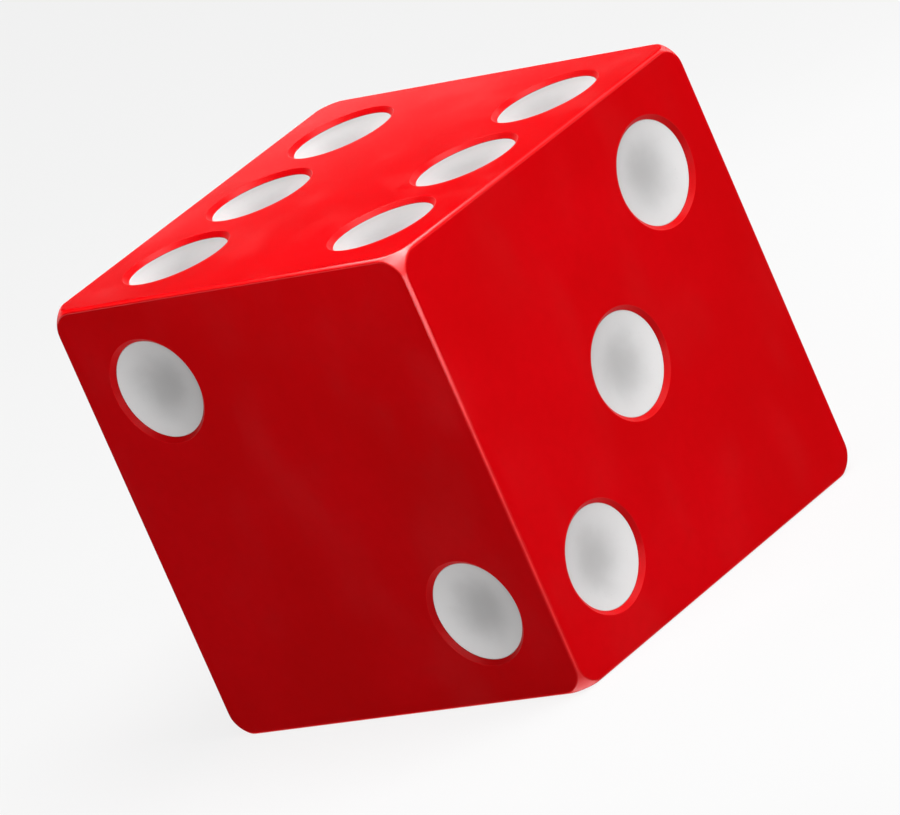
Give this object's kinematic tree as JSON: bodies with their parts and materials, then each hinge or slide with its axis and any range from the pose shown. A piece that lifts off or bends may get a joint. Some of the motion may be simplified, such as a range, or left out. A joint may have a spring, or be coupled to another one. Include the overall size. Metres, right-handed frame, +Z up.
{
  "type": "die",
  "caption": "Six-sided casino die: polished red cube with near-sharp edges, softened corners and dished white spots in countersunk pockets.",
  "frame": {"origin": "centre of the face the die rests on, which is face one", "axes": "+Z up and out of face six, -Y out of face two, +X out of face three; +Y out of face five, -X out of face four, -Z out of face one"},
  "size_m": [0.019, 0.019, 0.0191],
  "materials": {
    "red_plastic": "polished opaque red cellulose acetate",
    "white_inlay": "smooth white inlay with a soft gloss"
  },
  "bodies": {
    "root": {"die_body": "red_plastic", "one_pip_centre": "white_inlay", "two_pip_upper_left": "white_inlay", "two_pip_lower_right": "white_inlay", "three_pip_upper_right": "white_inlay", "three_pip_centre": "white_inlay", "three_pip_lower_left": "white_inlay", "four_pip_upper_left": "white_inlay", "four_pip_upper_right": "white_inlay", "four_pip_lower_left": "white_inlay", "four_pip_lower_right": "white_inlay", "five_pip_centre": "white_inlay", "five_pip_upper_left": "white_inlay", "five_pip_upper_right": "white_inlay", "five_pip_lower_left": "white_inlay", "five_pip_lower_right": "white_inlay", "six_pip_middle_left": "white_inlay", "six_pip_middle_right": "white_inlay", "six_pip_upper_left": "white_inlay", "six_pip_upper_right": "white_inlay", "six_pip_lower_left": "white_inlay", "six_pip_lower_right": "white_inlay"}
  },
  "joints": []
}
